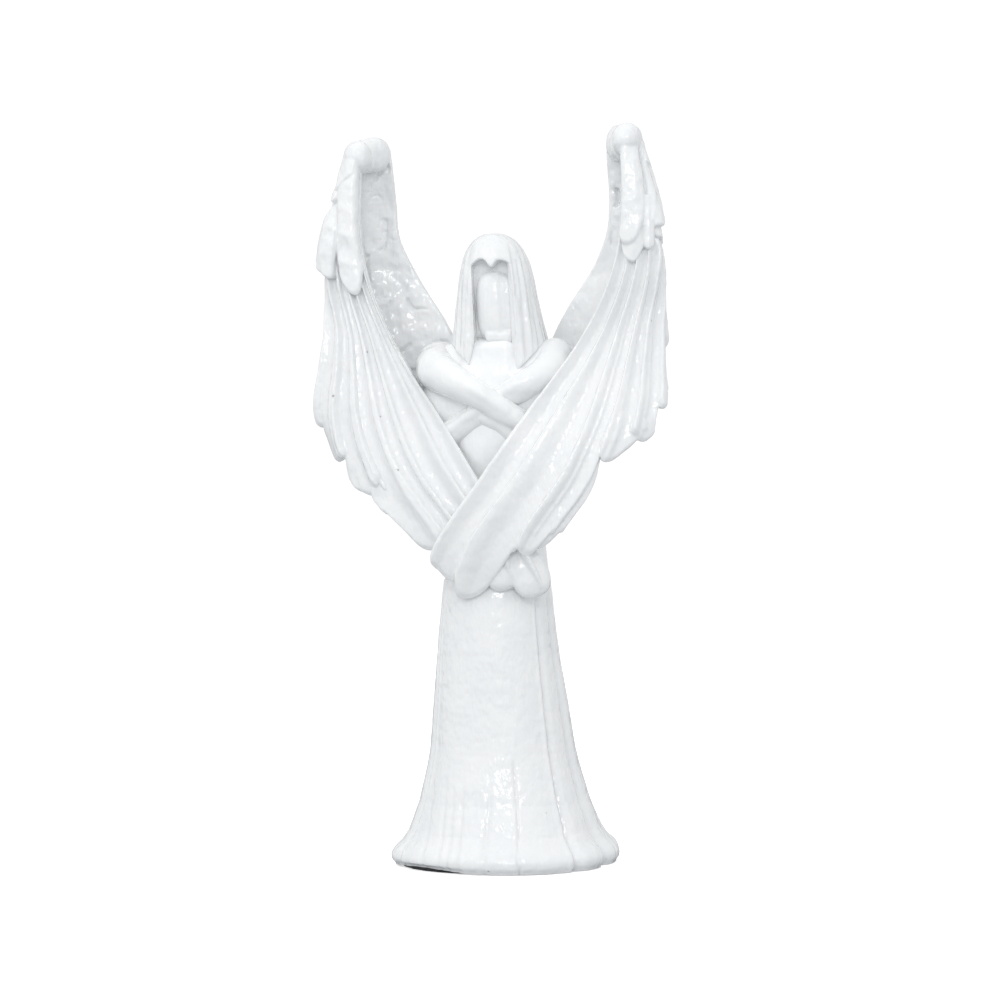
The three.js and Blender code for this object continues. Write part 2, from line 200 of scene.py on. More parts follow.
def relax(co, edges, times):
    """Evens a surface out: each vertex moves towards the middle of its neighbours."""
    count = np.bincount(edges.ravel(), minlength=len(co)).astype(float)[:, None]
    for _ in range(times):
        total = np.zeros_like(co)
        for axis in range(3):
            total[:, axis] = np.bincount(edges[:, 0], co[edges[:, 1], axis], len(co))
            total[:, axis] += np.bincount(edges[:, 1], co[edges[:, 0], axis], len(co))
        co = co + 0.5 * (total / np.maximum(count, 1) - co)
    return co


def fuse(name, parts, voxel, times):
    """Overlapping closed pieces cast as one body, with their edges rounded over."""
    raw = mesh_object(name + "_raw", *join(parts))
    mod = raw.modifiers.new("voxels", "REMESH")
    mod.mode = "VOXEL"
    mod.voxel_size = voxel * MM
    graph = bpy.context.evaluated_depsgraph_get()
    mesh = bpy.data.meshes.new_from_object(raw.evaluated_get(graph))
    mesh.name = name
    obj = bpy.data.objects.new(name, mesh)
    bpy.context.scene.collection.objects.link(obj)
    bpy.data.objects.remove(raw)
    co, edges, _ = read_mesh(obj)
    write_mesh(obj, relax(co, edges, times))
    return obj


def grid_points(low, high, step):
    axes = [np.arange(a, b + step, step) for a, b in zip(low, high)]
    return np.stack(np.meshgrid(*axes, indexing="ij"), -1)


FIELD_REACH = 5.0  # how far from a surface its distance field is kept, in mm


def field_object(name, distance, low, step):
    """The surface where a sampled distance field is zero."""
    grid = openvdb.FloatGrid(FIELD_REACH)
    grid.copyFromArray(np.ascontiguousarray(np.clip(distance, -FIELD_REACH, FIELD_REACH)).astype(np.float32))
    points, quads = grid.convertToQuads(0.0)
    verts = points.astype(float) * step + np.array(low, float)
    obj = mesh_object(name, verts, quads[:, ::-1])
    co, edges, _ = read_mesh(obj)
    write_mesh(obj, relax(co, edges, 2))
    return obj


def blend_min(a, b, k):
    h = np.clip(0.5 + 0.5 * (b - a) / k, 0, 1)
    return lerp(b, a, h) - k * h * (1 - h)


def blend_max(a, b, k):
    return -blend_min(-a, -b, k)


# ---------------------------------------------------------------- wings

LEADING_EDGE = catmull([
    [54, 1, 299], [55, -2.5, 289], [55.6, -4.6, 274], [55, -5.5, 257], [51.8, -6, 240], [44.5, -7.5, 222],
    [34, -11, 204], [18.5, -17, 182], [1.5, -24, 157], [-18, -26, 130], [-30, -20, 104],
])
OUTER_LINE = catmull([
    [56.5, 5, 299.8], [58.8, 2, 290], [63.5, -1, 274], [67.3, -3, 257], [69, -2.5, 241], [68.8, 0.5, 224],
    [70.2, -3, 205], [71.6, -7, 185], [62, -10, 161], [46, -16, 136], [36, -19, 106],
])
BACK_EDGE = catmull([
    [46.9, 10.5, 298.5], [46.1, 12.3, 288], [46, 16.8, 273], [44.7, 17.4, 258], [37.6, 18.9, 242],
    [26, 17.5, 224], [17.5, 18, 207], [13, 20, 190], [12, 24, 170], [14, 26, 150], [14, 26, 130],
])
RIBS = 10.0
RIB_ROWS = 251
RIB_COLUMNS = 181


class Wing:
    """One curved sheet, in ribs v from the wrist down and fractions s round each rib from the front."""

    def __init__(self, side, forward):
        self.side = side
        v = np.linspace(0, RIBS, RIB_ROWS)
        front, outer, back = (line(v / RIBS)[:, None] for line in (LEADING_EDGE, OUTER_LINE, BACK_EDGE))

        def between(p, q, fx, fy):
            x, y = lerp(p[..., 0], q[..., 0], fx), lerp(p[..., 1], q[..., 1], fy)
            return np.stack([x, y, (p[..., 2] + q[..., 2]) / 2], -1)

        a = np.linspace(0, 1, 61)[None, :, None]

        def arc(p, q, r):
            return (1 - a) ** 2 * p + 2 * a * (1 - a) * q + a**2 * r

        corner, heel = between(front, outer, 0.86, 0.06), between(back, outer, 0.95, 0.02)
        path = np.concatenate([arc(front, corner, outer), arc(outer, heel, back)[:, 1:]], 1)
        run = np.cumsum(np.linalg.norm(np.diff(path, axis=1), axis=-1), 1)
        run = np.concatenate([np.zeros((len(v), 1)), run], 1)
        s = np.linspace(0, 1, RIB_COLUMNS)
        table = np.empty((len(v), RIB_COLUMNS, 3))
        for n in range(len(v)):
            for axis in range(3):
                table[n, :, axis] = np.interp(s * run[n, -1], run[n], path[n, :, axis])
        table[..., 1] -= (forward * smooth(5.5, 8, v))[:, None]
        self.table = table
        self.normal = unit(np.cross(np.gradient(table, axis=0), np.gradient(table, axis=1)))
        for _ in range(3):
            self.normal[1:-1, 1:-1] = unit(
                self.normal[1:-1, 1:-1] + self.normal[:-2, 1:-1] + self.normal[2:, 1:-1]
                + self.normal[1:-1, :-2] + self.normal[1:-1, 2:]
            )

    def sample(self, table, s, v):
        s, v = np.broadcast_arrays(np.asarray(s, float), np.asarray(v, float))
        a = np.clip(s, 0, 1) * (RIB_COLUMNS - 1)
        b = np.clip(v / RIBS, 0, 1) * (len(table) - 1)
        i, j = np.minimum(a.astype(int), RIB_COLUMNS - 2), np.minimum(b.astype(int), len(table) - 2)
        fa, fb = (a - i)[..., None], (b - j)[..., None]
        top = lerp(table[j, i], table[j, i + 1], fa)
        return lerp(top, lerp(table[j + 1, i], table[j + 1, i + 1], fa), fb)

    def at(self, s, v, lift):
        p = self.sample(self.table, s, v) + unit(self.sample(self.normal, s, v)) * np.asarray(lift)[..., None]
        return p * np.array([self.side, 1, 1])

    def oriented(self, part):
        verts, faces = part
        return (verts, faces) if self.side > 0 else (verts, faces[:, ::-1])


def spread(values, t):
    """Values evenly spaced from 0 to 1, read smoothly at t."""
    return catmull([[v] for v in values])(t)[..., 0]


def flute(u, rib):
    """Height across a long feather: a round crest, a hollow, and a rise under the next crest."""
    front = lerp(0.34, 1.0, smooth(-0.09, 0.02, u))
    fall = 0.14 + 0.86 * (1 - smooth(0.04, 0.62, u))
    rise = 0.34 * np.clip((u - 0.55) / 0.45, 0, 1) ** 1.5
    extra = 0.0
    if rib:
        at, size = rib
        extra = size * bell(u - at, 0.07) - 0.5 * size * bell(u - at + 0.13, 0.05)
    return np.where(u < 0, front, fall + rise) + extra


FEATHER_HEIGHT = 3.3
FEATHER_START = 1.6  # the rib where the long feathers begin, under the small ones


def long_feather(
    wing, lines, index, ends, tuck=0.012, wide=0.0, rib=None, low=0.0, widen=(7.6, 8.6), round_by=0.13
):
    """One long feather: ends are where it stops, from its front line to its back line.

    It runs on under the next feather by tuck, and grows wider by wide over the ribs in widen. rib is the
    place and size of an extra small ridge, low sinks the feather, and round_by rounds its end.
    """
    u = np.concatenate([[-0.09, -0.045], np.linspace(0, 1, 25), [1.1]])[None, :]
    w = np.linspace(0, 1, 190)[:, None]
    inside = np.clip(u, 0, 1)
    corner = round_by * np.abs(2 * inside - 1) ** 7
    v = FEATHER_START + (spread(ends, inside) - corner - FEATHER_START) * w
    s0, s1 = lines(index, v), lines(index + 1, v) + wide * smooth(*widen, v)
    s = np.where(u > 1, s1 + tuck, lerp(s0, s1, u))
    grown = lerp(0.30, 1.0, smooth(2.4, 4.2, v))
    near_end = smooth(0.86, 1.0, w)
    top = 0.15 - low + FEATHER_HEIGHT * flute(u, rib) * grown
    top = lerp(top, np.maximum(top, 1.3 - low), near_end) + 0.5 * near_end - 1.1 * smooth(0.988, 1.0, w)
    under = np.full_like(top, -1.0 - 0.5 * low)
    return wing.oriented(slab(wing.at(s, v, top), wing.at(s, v, under)))


def tongue(wing, left, right, start, ends, height, ridge=0.0, steps=(), grow=0.0):
    """One thick small feather of the wrist between two s lines: domed across, with a blunt end."""
    u = np.linspace(-1, 1, 33)[None, :]
    w = np.linspace(0, 1, 120)[:, None]
    v = start + (spread(ends, (u + 1) / 2) - 0.10 * np.abs(u) ** 6 - start) * w
    s = lerp(spread(left, w), spread(right, w), (u + 1) / 2)
    dome = 0.32 + 0.68 * np.sqrt(np.clip(1 - np.abs(u) ** 4, 0, 1))
    top = 0.5 + height * smooth(-0.2, 1.0, v) * dome * lerp(0.86, 1.0, w)
    if grow:
        top = top * lerp(0.45, 1.0, smooth(start, start + grow, v))
    top = top + ridge * bell(u, 0.30) - 0.9 * smooth(0.975, 1.0, w)
    for at, size in steps:
        top = top + size * bell(v - at + 0.06 * u, 0.10) * (1 - u**2)
    under = np.full_like(top, -0.4)
    return wing.oriented(slab(wing.at(s, v, top), wing.at(s, v, under)))


def pebble(centre, along, across_it, out, power=0.8):
    """A closed rounded lump with three half-axes, blunter than an ellipsoid when power is below 1."""
    phi = np.linspace(-np.pi / 2, np.pi / 2, 25)[:, None]
    theta = np.linspace(0, 2 * np.pi, 41)[None, :-1]

    def blunt(value):
        return np.sign(value) * np.abs(value) ** power

    ring = blunt(np.cos(phi))
    weights = [blunt(np.sin(phi)) + 0 * theta, ring * blunt(np.cos(theta)), ring * blunt(np.sin(theta))]
    axes = [np.array(axis, float) for axis in (along, across_it, out)]
    verts = np.array(centre, float) + sum(w[..., None] * axis for w, axis in zip(weights, axes))
    return closed_tube(verts)


def closed_tube(rings):
    """Rings of points joined into a closed skin, each end drawn in to a point."""
    n, m, _ = rings.shape
    verts = np.concatenate([rings.reshape(-1, 3), rings[0].mean(0)[None], rings[-1].mean(0)[None]])
    i = np.arange(m)
    j = (i + 1) % m
    k = (np.arange(n - 1) * m)[:, None]
    quads = np.stack([k + i, k + j, k + m + j, k + m + i], -1).reshape(-1, 4)
    # each end fan takes two edges at a time, so that the whole skin is quads
    a, b, c = i[::2], i[1::2], (i[1::2] + 1) % m
    last = (n - 1) * m
    fan_low = np.stack([c, b, a, np.full(m // 2, n * m)], 1)
    fan_high = np.stack([last + a, last + b, last + c, np.full(m // 2, n * m + 1)], 1)
    return verts, np.concatenate([quads, fan_low, fan_high])


def feather_lines(high, low, v_high, v_low):
    """The feathers' front lines, which fan out from v_high to v_low."""
    high, low = np.array(high), np.array(low)

    def at(index, v):
        return lerp(high[index], low[index], smooth(v_high, v_low, v))

    return at


def backing(wing, name, rough):
    """The wing's inner sheet: hammered and gouged by hand on the side that shows."""
    s = np.linspace(0, 1, 190)[None, :]
    w = np.linspace(0, 1, 320)[:, None]
    end = lerp(6.95, 6.15, smooth(0.18, 0.45, s))
    v = 0.3 + (end - 0.3) * w
    thick = 2.3 * lerp(0.45, 1, smooth(0.0, 1.5, v))
    flat = wing.at(s, v, np.zeros_like(v))
    dents = noise(flat, 5.6, 3) * 0.62 + noise(flat, 2.7, 4) * 0.30
    line = bell(noise(flat, [9, 9, 13], 8), 0.085) * smooth(0.02, 0.3, noise(flat, 8.5, 11))
    cells = bell(noise(flat, [5, 5, 4], 12), 0.11) * smooth(0.1, 0.4, noise(flat, 13, 14))
    fade = smooth(0.0, 0.05, s) * smooth(1.0, 0.95, s) * smooth(0.3, 0.8, v)
    depth = (0.62 * dents + 1.15 * line + 0.6 * cells) * lerp(rough[0], rough[1], smooth(2.0, 3.4, v))
    inner = wing.at(s, v, -0.5 - thick + depth * fade)
    outer = wing.at(s, v, np.full_like(v, 0.25))
    return fuse(name, [wing.oriented(slab(outer, inner))], 0.42, 1)


# ---------------------------------------------------------------- materials


class Nodes:
    def __init__(self, name):
        self.material = bpy.data.materials.new(name)
        self.material.use_nodes = True
        self.tree = self.material.node_tree
        self.shader = self.tree.nodes["Principled BSDF"]

    def add(self, kind, **values):
        node = self.tree.nodes.new(kind)
        for key, value in values.items():
            if key in node.inputs:
                node.inputs[key].default_value = value
            else:
                setattr(node, key, value)
        return node

    def link(self, source, target):
        self.tree.links.new(source, target)

    def texture(self, kind, scale, stretch=(1, 1, 1), **values):
        """A texture in metres of the object's own space."""
        place = self.tree.nodes.get("place")
        if place is None:
            place = self.add("ShaderNodeTexCoord")
            place.name = "place"
        mapping = self.add("ShaderNodeMapping")
        mapping.inputs["Scale"].default_value = stretch
        self.link(place.outputs["Object"], mapping.inputs["Vector"])
        node = self.add(kind, Scale=scale, **values)
        self.link(mapping.outputs["Vector"], node.inputs["Vector"])
        return node

    def ramp(self, source, low, high, a, b):
        node = self.add("ShaderNodeMapRange")
        node.inputs["From Min"].default_value = low
        node.inputs["From Max"].default_value = high
        node.inputs["To Min"].default_value = a
        node.inputs["To Max"].default_value = b
        self.link(source, node.inputs["Value"])
        return node.outputs["Result"]

    def math(self, operation, a, b):
        node = self.add("ShaderNodeMath", operation=operation)
        for value, socket in ((a, node.inputs[0]), (b, node.inputs[1])):
            if isinstance(value, (int, float)):
                socket.default_value = value
            else:
                self.link(value, socket)
        return node.outputs[0]

    def bump(self, height, strength, distance, normal=None):
        node = self.add("ShaderNodeBump")
        node.inputs["Strength"].default_value = strength
        node.inputs["Distance"].default_value = distance
        self.link(height, node.inputs["Height"])
        if normal is not None:
            self.link(normal, node.inputs["Normal"])
        return node.outputs["Normal"]


def enamel(name, brush, hammer, tone=1.0):
    """Thick white enamel brushed over a resin casting: glossy, dimpled, with a few pinholes whose insides are
    darkened with painted shade.
    """
    m = Nodes(name)
    cloud = m.texture("ShaderNodeTexNoise", 60.0, Detail=3.0, Roughness=0.55)
    strokes = m.texture("ShaderNodeTexNoise", 900.0, (1, 1, 0.22), Detail=2.0, Roughness=0.6)
    dimples = m.texture("ShaderNodeTexNoise", 330.0, (1, 1, 0.7), Detail=1.5, Roughness=0.5)
    facets = m.texture("ShaderNodeTexVoronoi", 210.0, (1, 1, 0.8), feature="SMOOTH_F1", Smoothness=0.8)
    holes = m.texture("ShaderNodeTexVoronoi", 150.0, feature="F1")
    pit_seed = m.texture("ShaderNodeTexNoise", 170.0, Detail=0.0)
    near = m.ramp(holes.outputs["Distance"], 0.05, 0.085, 1.0, 0.0)
    chosen = m.ramp(pit_seed.outputs["Fac"], 0.69, 0.72, 0.0, 1.0)
    pits = m.math("MULTIPLY", near, chosen)
    mix = m.add("ShaderNodeMix", data_type="RGBA")
    white = (0.873 * tone, 0.881 * tone, 0.885 * tone, 1)
    cool = (0.828 * tone, 0.840 * tone, 0.850 * tone, 1)
    mix.inputs[6].default_value = white
    mix.inputs[7].default_value = cool
    m.link(m.ramp(cloud.outputs["Fac"], 0.35, 0.75, 0.0, 1.0), mix.inputs[0])
    # the pinholes are darkened towards grey in the base colour: painted shade inside them
    pit_shade = m.add("ShaderNodeMix", data_type="RGBA")
    pit_shade.inputs[7].default_value = (0.60, 0.60, 0.60, 1)
    m.link(mix.outputs[2], pit_shade.inputs[6])
    m.link(pits, pit_shade.inputs[0])
    m.link(pit_shade.outputs[2], m.shader.inputs["Base Color"])
    gloss = m.ramp(cloud.outputs["Fac"], 0.3, 0.8, 0.13, 0.24)
    m.link(gloss, m.shader.inputs["Roughness"])
    m.shader.inputs["Coat Weight"].default_value = 0.6
    m.shader.inputs["Coat Roughness"].default_value = 0.06
    normal = m.bump(dimples.outputs["Fac"], 0.5 * brush, 0.0006)
    normal = m.bump(strokes.outputs["Fac"], 0.35 * brush, 0.00025, normal)
    normal = m.bump(facets.outputs["Distance"], 0.5 * hammer, 0.0009, normal)
    normal = m.bump(m.math("MULTIPLY", pits, -1.0), 1.0, 0.0005, normal)
    m.link(normal, m.shader.inputs["Normal"])
    m.link(normal, m.shader.inputs["Coat Normal"])
    return m.material


def felt():
    m = Nodes("felt")
    fibre = m.texture("ShaderNodeTexNoise", 2600.0, Detail=4.0, Roughness=0.7)
    mix = m.add("ShaderNodeMix", data_type="RGBA")
    mix.inputs[6].default_value = (0.022, 0.024, 0.028, 1)
    mix.inputs[7].default_value = (0.06, 0.062, 0.068, 1)
    m.link(fibre.outputs["Fac"], mix.inputs[0])
    m.link(mix.outputs[2], m.shader.inputs["Base Color"])
    m.shader.inputs["Roughness"].default_value = 0.95
    m.shader.inputs["Sheen Weight"].default_value = 0.4
    m.link(m.bump(fibre.outputs["Fac"], 0.6, 0.0004), m.shader.inputs["Normal"])
    return m.material


def steel():
    m = Nodes("dowel_steel")
    turned = m.texture("ShaderNodeTexNoise", 500.0, (1, 1, 6), Detail=2.0)
    m.shader.inputs["Base Color"].default_value = (0.56, 0.57, 0.58, 1)
    m.shader.inputs["Metallic"].default_value = 1.0
    m.link(m.ramp(turned.outputs["Fac"], 0.3, 0.7, 0.25, 0.42), m.shader.inputs["Roughness"])
    m.link(m.bump(turned.outputs["Fac"], 0.3, 0.0001), m.shader.inputs["Normal"])
    return m.material


ENAMEL = enamel("enamel", 1.7, 0.4)
ENAMEL_SMOOTH = enamel("enamel_smooth", 1.1, 0.2, 1.01)
# a lighter copy of the enamel: painted light for the bodice's belly and chest, which lie in shade between the
# arms and wings
ENAMEL_PAINTED_LIGHT = enamel("enamel_painted_light", 1.1, 0.2, 1.06)
ENAMEL_HAMMERED = enamel("enamel_hammered", 1.6, 1.0)
FELT = felt()
STEEL = steel()


def finish_piece(obj, material, slot_name, *nodes, ripple):
    """Brushed unevenness, smooth shading, material, and its place in the frame."""
    co, _, normal = read_mesh(obj)
    wave = noise(co, [5.5, 5.5, 9.0], 21) + 0.5 * noise(co, [2.4, 2.4, 3.6], 22)
    write_mesh(obj, co + normal * (ripple * wave)[:, None])
    obj.data.polygons.foreach_set("use_smooth", np.ones(len(obj.data.polygons), bool))
    obj.data.materials.clear()
    obj.data.materials.append(material)
    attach(obj, "root")
    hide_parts(*nodes)
    return obj


# voxel sizes in mm, which keep each casting under 200,000 triangles
PRIMARY_VOXEL = 0.42
SECONDARY_VOXEL = 0.46
COVERT_VOXEL = 0.38


def wing_caps(side, crown):
    """Three lumps over the wing's top, front, back and between; crown is how high the front one stands."""
    return [
        pebble([side * 57, 0, crown], [0, 0, 6.9], [side * 6, 0, 0], [0, 7.5, 0], 0.9),
        pebble([side * 52.4, 6.1, 292.6], [0, 0, 7.3], [side * -4.8, 6.4, 0], [side * 3.4, 2.5, 0], 0.9),
        pebble([side * 54.5, 2.8, 292], [0, 0, 7.2], [side * -3.6, 4.8, 0], [side * 3.8, 2.9, 0], 0.9),
    ]


def build_wing(name, wing, lines, feathers, split, coverts, rough, lumps=(), crown=293.0):
    """A wing's four castings. The feathers before split are its primaries, which carry the lumps."""
    obj = backing(wing, name + "_wing_backing", rough)
    finish_piece(obj, ENAMEL_HAMMERED, "enamel", name + "_wing_shell", ripple=0.04)
    primaries = [long_feather(wing, lines, **f) for f in feathers[:split]]
    primaries += [pebble(*lump) for lump in lumps]
    secondaries = [long_feather(wing, lines, **f) for f in feathers[split:]]
    for part, slabs, voxel in (
        ("primaries", primaries, PRIMARY_VOXEL),
        ("secondaries", secondaries, SECONDARY_VOXEL),
    ):
        obj = fuse(f"{name}_{part}_cast", slabs, voxel, 4)
        finish_piece(obj, ENAMEL, "enamel", f"{name}_{part}", ripple=0.10)
    parts = [wing.oriented(cap) for cap in wing_caps(wing.side, crown)] + [tongue(wing, **c) for c in coverts]
    obj = fuse(name + "_coverts_cast", parts, COVERT_VOXEL, 3)
    finish_piece(obj, ENAMEL_HAMMERED, "enamel", name + "_coverts", ripple=0.33)


LEFT_LINES = feather_lines(
    [0, 0.085, 0.15, 0.225, 0.28, 0.345, 0.40, 0.47, 0.56, 0.65, 0.75, 0.87, 1.0],
    [0, 0.115, 0.27, 0.345, 0.43, 0.495, 0.56, 0.63, 0.70, 0.77, 0.84, 0.92, 1.0], 5.0, 9.0,
)
RIGHT_LINES = feather_lines(
    [0, 0.035, 0.09, 0.135, 0.195, 0.26, 0.34, 0.41, 0.49, 0.58, 0.68, 0.79, 0.89, 1.0],
    [0, 0.08, 0.175, 0.245, 0.33, 0.42, 0.495, 0.57, 0.64, 0.71, 0.78, 0.85, 0.92, 1.0], 5.0, 8.3,
)
BACK_TONGUES = [
    dict(
        left=[0.40, 0.38, 0.37, 0.38], right=[0.54, 0.53, 0.52, 0.49],
        start=0.3, ends=[1.9, 2.1, 1.8], height=4.4,
    ),
    dict(left=[0.36, 0.37, 0.38], right=[0.48, 0.49, 0.46], start=1.6, ends=[3.2, 3.45, 3.3], height=3.2),
    dict(left=[0.53, 0.50, 0.50], right=[0.68, 0.66, 0.64], start=0.3, ends=[2.3, 2.45, 2.2], height=4.4),
    dict(left=[0.48, 0.49, 0.50], right=[0.61, 0.62, 0.59], start=1.7, ends=[3.4, 3.7, 3.5], height=3.0),
    dict(left=[0.66, 0.65, 0.66], right=[0.82, 0.81, 0.79], start=0.3, ends=[2.0, 2.2, 2.0], height=4.2),
    dict(left=[0.60, 0.62, 0.63], right=[0.75, 0.76, 0.73], start=1.6, ends=[3.2, 3.5, 3.3], height=2.9),
    dict(left=[0.81, 0.80, 0.80], right=[0.94, 0.93, 0.93], start=0.3, ends=[2.4, 2.6, 2.3], height=3.8),
    dict(left=[0.75, 0.75, 0.76], right=[0.90, 0.91, 0.88], start=1.6, ends=[3.5, 3.75, 3.5], height=2.8),
]
build_wing(
    "left", Wing(1, 2.6), LEFT_LINES,
    [
        dict(index=0, ends=[9.2, 9.35, 9.5, 9.62], rib=(0.12, 0.12)),
        dict(index=1, ends=[9.68, 9.82, 9.84, 9.70, 9.32]),
        dict(index=2, ends=[9.05, 9.22, 9.26, 9.1], wide=0.02, rib=(0.5, 0.22)),
        dict(index=2, ends=[9.0, 9.1, 9.18, 9.1], wide=0.05, low=1.6),
        dict(index=3, ends=[7.75, 7.87, 7.87, 7.72, 7.58], rib=(0.32, 0.14), wide=0.035, widen=(6.9, 7.5)),
        dict(
            index=4, ends=[7.45, 7.5, 7.58, 7.6, 7.54], rib=(0.45, 0.2),
            wide=0.012, widen=(7.2, 7.6), tuck=0.0, round_by=0.05,
        ),
        dict(index=5, ends=[7.08, 7.03, 6.9]),
        dict(index=6, ends=[5.75, 5.9, 5.8], low=-0.4),
        dict(index=7, ends=[6.75, 6.9, 6.8]),
        dict(index=8, ends=[6.7, 6.85, 6.75]),
        dict(index=9, ends=[6.6, 6.75, 6.65]),
        dict(index=10, ends=[6.6, 6.7, 6.6]),
        dict(index=11, ends=[6.45, 6.55, 6.4]),
    ],
    4,
    [
        dict(
            left=[0.0, 0.0, 0.0, 0.0, 0.005], right=[0.19, 0.18, 0.185, 0.20, 0.21], start=0.3,
            ends=[3.3, 3.42, 3.4, 3.2, 2.7], height=5.0, steps=((1.5, 0.2), (2.4, 0.4), (2.8, -0.25)),
        ),
        dict(
            left=[0.01, 0.02, 0.03], right=[0.2, 0.205, 0.2],
            start=2.3, ends=[3.5, 3.74, 3.86, 3.82, 3.5], height=3.6,
        ),
        dict(
            left=[0.17, 0.18, 0.195], right=[0.27, 0.265, 0.26],
            start=2.3, ends=[3.5, 3.58, 3.5], height=4.0, ridge=0.5,
        ),
        dict(
            left=[0.18, 0.20, 0.21], right=[0.36, 0.35, 0.33],
            start=0.3, ends=[1.5, 1.62, 1.78], height=4.9,
        ),
        dict(
            left=[0.20, 0.21, 0.22], right=[0.29, 0.29, 0.275],
            start=1.2, ends=[2.7, 2.95, 2.85], height=3.9, ridge=0.5,
        ),
        dict(
            left=[0.23, 0.235, 0.24], right=[0.38, 0.385, 0.35], start=1.3,
            ends=[3.0, 3.04, 2.85, 2.5], height=4.9, ridge=0.4,
        ),
        dict(
            left=[0.25, 0.25, 0.26], right=[0.38, 0.38, 0.36],
            start=2.0, ends=[3.25, 3.35, 3.3], height=3.0,
        ),
        *BACK_TONGUES,
    ],
    (2.3, 0.5),
)
build_wing(
    "right", Wing(-1, -2.6), RIGHT_LINES,
    [
        dict(index=0, ends=[9.68, 9.76, 9.72, 9.55]),
        dict(index=1, ends=[9.45, 9.66, 9.68, 9.45]),
        dict(index=2, ends=[9.2, 9.3, 9.2], rib=(0.24, 0.16)),
        dict(index=3, ends=[9.22, 9.2, 9.18, 9.14, 8.8], wide=0.08, rib=(0.2, 0.16), widen=(7.9, 8.5)),
        dict(
            index=4, ends=[8.08, 8.2, 8.36, 8.38, 8.36], rib=(0.24, 0.18),
            wide=0.03, widen=(7.7, 8.2), round_by=0.04,
        ),
        dict(index=4, ends=[8.3, 8.34, 8.34, 8.3], low=2.0),
        dict(index=5, ends=[7.72, 7.76, 7.8, 7.86], rib=(0.3, 0.18), low=-0.6, round_by=0.03),
        dict(index=6, ends=[7.24, 7.2, 7.1], rib=(0.4, 0.18), low=-1.2, round_by=0.04),
        dict(index=7, ends=[6.75, 6.85, 6.7], low=-1.6),
        dict(index=8, ends=[6.75, 6.9, 6.8], low=-0.8),
        dict(index=9, ends=[6.7, 6.85, 6.75]),
        dict(index=10, ends=[6.6, 6.75, 6.65]),
        dict(index=11, ends=[6.6, 6.7, 6.6]),
        dict(index=12, ends=[6.45, 6.55, 6.4]),
    ],
    4,
    [
        dict(
            left=[0.0, 0.0, 0.01], right=[0.245, 0.24, 0.23], start=0.3,
            ends=[1.45, 1.55, 1.7, 1.88, 1.98], height=5.45,
        ),
        dict(
            left=[0.0, 0.0, 0.0, 0.0], right=[0.21, 0.195, 0.185, 0.18], start=1.2,
            ends=[3.8, 4.22, 4.4, 4.3, 3.9], height=5.3,
            steps=((1.75, 0.3), (2.35, 0.35), (2.95, 0.45), (3.3, -0.3), (3.65, 0.45)),
        ),
        dict(
            left=[0.15, 0.165, 0.185, 0.205], right=[0.28, 0.35, 0.36, 0.31], start=1.9,
            ends=[3.98, 4.0, 3.85, 3.6], height=6.0, ridge=0.5, grow=0.9,
        ),
        dict(
            left=[0.26, 0.27, 0.28], right=[0.42, 0.41, 0.38],
            start=0.3, ends=[2.0, 2.3, 2.2], height=5.4,
        ),
        dict(
            left=[0.17, 0.17, 0.18], right=[0.25, 0.25, 0.24],
            start=1.8, ends=[2.08, 2.18, 2.12], height=5.3,
        ),
        *BACK_TONGUES,
    ],
    (1.1, 1.3),
    # the ends of its two longest feathers, which come out below the left wing
    lumps=[
        ([18.7, -20, 118.5], [3.6, 0, -9.5], [7.2, 1.5, 2.6], [0, -4.6, 0]),
        ([7.2, -21.5, 118], [2.2, 0, -6.4], [5.8, 0.8, 1.6], [0, -4.4, 0]),
    ],
    crown=291.0,
)

# ---------------------------------------------------------------- gown

GOWN_TOP = 118.0
GOWN = profile([
    [0, 45.3, 44.4], [6, 44.6, 43.9], [14, 38.9, 39.2], [26, 34.2, 34.6], [46, 29.2, 29.6],
    [67, 26.5, 27], [88, 24.1, 25], [108, 22.2, 23], [118, 21.0, 21.6],
])
PLEATS = 9
# soft flutes low on the front panel: mm from its middle, depth, width
PANEL_FLUTES = ((2.5, 0.9, 1.2), (-9.0, 0.7, 1.0), (-13.5, 0.6, 0.9), (-17.5, 0.6, 1.0), (-26.0, 0.5, 1.4))


def superellipse(angle, half_x, half_y, power):
    c, s = np.cos(angle), np.sin(angle)
    r = (np.abs(c / half_x) ** power + np.abs(s / half_y) ** power) ** (-1 / power)
    return r * c, r * s


